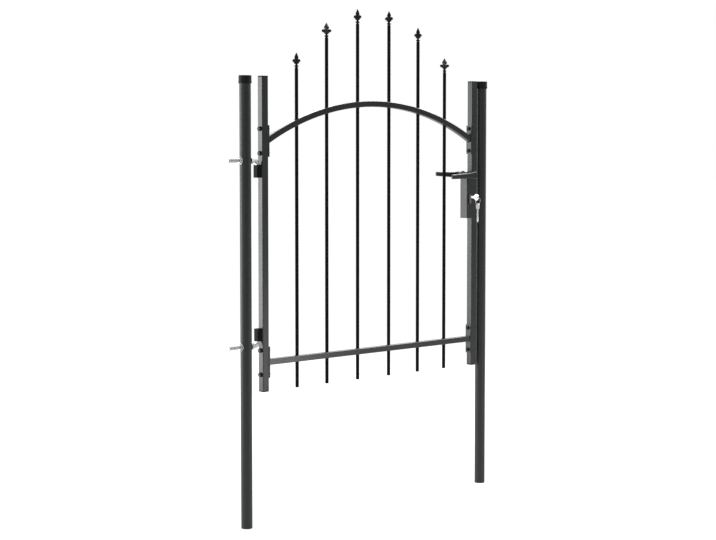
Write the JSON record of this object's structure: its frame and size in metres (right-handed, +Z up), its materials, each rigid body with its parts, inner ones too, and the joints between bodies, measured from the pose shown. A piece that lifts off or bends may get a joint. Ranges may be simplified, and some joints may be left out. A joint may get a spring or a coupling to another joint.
{
  "type": "steel garden gate with two posts",
  "caption": "Arched garden gate leaf of welded steel tube with spear-topped bars, hung on pin hinges between two round posts, with a lever lock.",
  "frame": {"origin": "centre of the hinge post's foot, on the face that is set in the ground", "axes": "+X along the gate from the hinge post to the latch post, -Y the front that the key is on, +Z up"},
  "size_m": [1.1731, 0.119, 1.739],
  "materials": {
    "anthracite_coat": "satin anthracite powder coat",
    "black_plastic": "matt black plastic",
    "lever_black": "satin black lacquer",
    "black_fasteners": "black oxide",
    "zinc_plate": "bright zinc plate",
    "nickel_plate": "nickel plate"
  },
  "bodies": {
    "posts": {"hinge_post": "anthracite_coat", "latch_post": "anthracite_coat", "hinge_post_cap": "black_plastic", "latch_post_cap": "black_plastic", "upper_hinge_bolt": "zinc_plate", "lower_hinge_bolt": "zinc_plate", "upper_hinge_nuts": "zinc_plate", "lower_hinge_nuts": "zinc_plate"},
    "leaf": {"upper_hinge_barrel": "anthracite_coat", "lower_hinge_barrel": "anthracite_coat", "hinge_stile": "anthracite_coat", "latch_stile": "anthracite_coat", "hinge_stile_plugs": "black_plastic", "latch_stile_plugs": "black_plastic", "arch_rail": "anthracite_coat", "bottom_rail": "anthracite_coat", "hinge_side_arch_plate": "anthracite_coat", "hinge_side_rail_plate": "anthracite_coat", "latch_side_arch_plate": "anthracite_coat", "latch_side_rail_plate": "anthracite_coat", "hinge_side_bolts": "black_fasteners", "latch_side_bolts": "black_fasteners", "bar_1": "anthracite_coat", "bar_2": "anthracite_coat", "bar_3": "anthracite_coat", "bar_4": "anthracite_coat", "bar_5": "anthracite_coat", "bar_6": "anthracite_coat", "spearhead_1": "anthracite_coat", "spearhead_2": "anthracite_coat", "spearhead_3": "anthracite_coat", "spearhead_4": "anthracite_coat", "spearhead_5": "anthracite_coat", "spearhead_6": "anthracite_coat", "lock_case": "anthracite_coat", "lock_cylinder": "nickel_plate", "key": "nickel_plate", "key_ring": "nickel_plate", "spare_key": "nickel_plate"},
    "levers": {"spindle": "zinc_plate", "front_lever": "lever_black", "back_lever": "lever_black"}
  },
  "joints": [
    {"name": "leaf_swing", "type": "hinge", "parent": "posts", "child": "leaf", "pos_m": [0.05, 0, 0.912], "axis": [0, 0, 1], "range_deg": [-90, 90]},
    {"name": "lever_turn", "type": "hinge", "parent": "leaf", "child": "levers", "pos_m": [1.006, 0, 1.155], "axis": [0, -1, 0], "range_deg": [0, 40], "stiffness_Nm_per_rad": 1, "springref_deg": -17.19}
  ]
}
